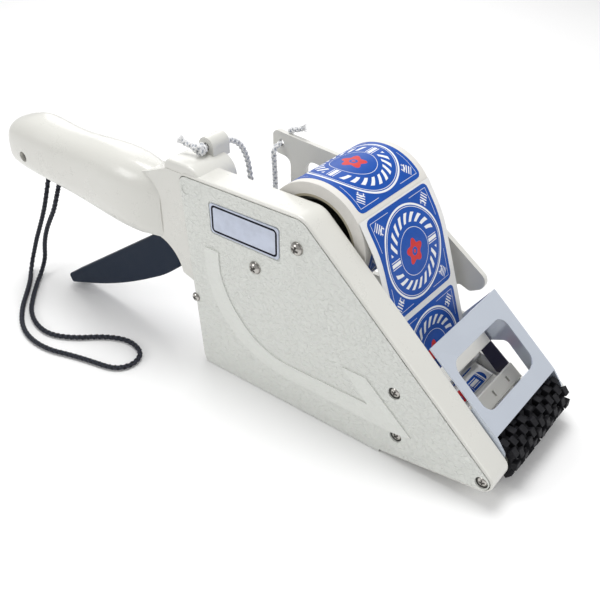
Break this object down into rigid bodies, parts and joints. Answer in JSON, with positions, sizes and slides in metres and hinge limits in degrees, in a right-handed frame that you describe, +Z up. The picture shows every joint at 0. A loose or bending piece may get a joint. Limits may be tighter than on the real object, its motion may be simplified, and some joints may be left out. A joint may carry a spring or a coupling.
{
  "type": "hand label applicator",
  "caption": "Hand-held label applicator: pistol grip, squeeze trigger with a gear train, label roll, peel edge, knobbed rubber application roller, hinged cover and roll guard.",
  "frame": {"origin": "on the flat underside that the tool stands on, at the middle of the label path and 104.5 mm behind the nose roller axis", "axes": "+X from the grip to the nose, +Y from the side cover to the open side with the roll guard, +Z up"},
  "size_m": [0.3271, 0.1422, 0.1228],
  "materials": {
    "housing_plastic": "moulded, glossy ivory white",
    "cover_plastic": "wrinkled moulded grain, pale grey-white",
    "badge_metal": "satin with a dark rim",
    "screw_steel": "bright plated",
    "trigger_plastic": "satin dark blue-grey",
    "shaft_steel": "ground",
    "spring_steel": "drawn wire and strip",
    "gear_plastic": "natural acetal",
    "bush_bronze": "sintered bronze",
    "frame_plastic": "moulded off-white",
    "guard_plastic": "moulded off-white",
    "bar_plastic": "moulded off-white",
    "plate_paint": "dark violet-grey paint",
    "cover_steel": "satin blue-grey sheet steel",
    "label_paper": "gloss blue printed labels",
    "liner_paper": "silicone-coated backing paper",
    "core_card": "wound card",
    "hub_plastic": "olive-grey moulding",
    "collar_plastic": "black",
    "feed_rubber": "fine ground rubber",
    "nose_rubber": "soft black rubber",
    "strap_fabric": "black braided cord",
    "tether_fabric": "white braided cord"
  },
  "bodies": {
    "case": {"housing": "housing_plastic", "side_cover": "cover_plastic", "nameplate": "badge_metal", "pan_head_screws": "screw_steel", "recessed_screws": "screw_steel", "rear_screw": "screw_steel", "grip_screw": "screw_steel", "strap_pin": "shaft_steel", "base_frame": "frame_plastic", "tie_bar": "shaft_steel", "guide_rod": "shaft_steel", "guide_collars": "collar_plastic", "upper_guide_bar": "bar_plastic", "lower_guide_bar": "bar_plastic", "guide_end_plate": "plate_paint", "peel_plate": "shaft_steel", "deflector_rod": "screw_steel", "trigger_pivot_pin": "shaft_steel", "trigger_spring": "spring_steel", "idler_pin": "shaft_steel", "feed_bush": "bush_bronze", "pinch_shaft": "shaft_steel", "pinch_springs": "spring_steel", "hub_shaft": "shaft_steel", "hub_retainer": "shaft_steel", "label_web": "label_paper", "liner": "liner_paper", "nose_shaft": "shaft_steel", "guard_hinge_pin": "shaft_steel", "wrist_strap": "strap_fabric", "tether_cord": "tether_fabric", "tether_knot_near": "tether_fabric"},
    "trigger": {"trigger_lever": "trigger_plastic", "sector_gear": "gear_plastic", "sector_rivets": "shaft_steel"},
    "idler": {"idler_gear": "gear_plastic", "idler_pinion": "gear_plastic"},
    "feed": {"feed_shaft": "shaft_steel", "feed_pinion": "gear_plastic", "one_way_clutch": "shaft_steel", "feed_roller": "feed_rubber"},
    "pinch": {"pinch_roller": "feed_rubber"},
    "roll": {"label_roll": "label_paper", "roll_core": "core_card", "roll_hub": "hub_plastic"},
    "cover": {"front_cover": "cover_steel"},
    "nose_roller": {"nose_core": "hub_plastic", "finger_rings": "nose_rubber"},
    "guard": {"roll_guard": "guard_plastic", "tether_knot_far": "tether_fabric"}
  },
  "joints": [
    {"name": "trigger_pull", "type": "hinge", "parent": "case", "child": "trigger", "pos_m": [-0.05223, 0, 0.07002], "axis": [0, 1, 0], "range_deg": [0, 22], "stiffness_Nm_per_rad": 0.25, "springref_deg": -14.32},
    {"name": "idler_turn", "type": "hinge", "parent": "case", "child": "idler", "pos_m": [0.00499, 0, 0.03329], "axis": [0, 1, 0], "range_deg": [-145, 0]},
    {"name": "feed_turn", "type": "hinge", "parent": "case", "child": "feed", "pos_m": [0.036, 0, 0.022], "axis": [0, 1, 0], "range_deg": [0, 332]},
    {"name": "pinch_turn", "type": "hinge", "parent": "case", "child": "pinch", "pos_m": [0.036, 0, 0.008], "axis": [0, 1, 0], "range_deg": [-615, 0]},
    {"name": "roll_turn", "type": "hinge", "parent": "case", "child": "roll", "pos_m": [0.0012, 0, 0.0905], "axis": [0, 1, 0], "range_deg": [0, 103]},
    {"name": "cover_tip", "type": "hinge", "parent": "case", "child": "cover", "pos_m": [0.1045, 0, 0.0124], "axis": [0, 1, 0], "range_deg": [0, 100]},
    {"name": "nose_roll", "type": "hinge", "parent": "case", "child": "nose_roller", "pos_m": [0.1045, 0, 0.0124], "axis": [0, 1, 0], "continuous": true},
    {"name": "guard_swing", "type": "hinge", "parent": "case", "child": "guard", "pos_m": [0, 0.0366, 0.019], "axis": [-1, 0, 0], "range_deg": [0, 70]}
  ],
  "couplings": [
    {"joint": "idler_turn", "follows": "trigger_pull", "ratio": -6.5556},
    {"joint": "feed_turn", "follows": "trigger_pull", "ratio": 15.078},
    {"joint": "pinch_turn", "follows": "trigger_pull", "ratio": -27.91},
    {"joint": "roll_turn", "follows": "trigger_pull", "ratio": 4.6352}
  ]
}
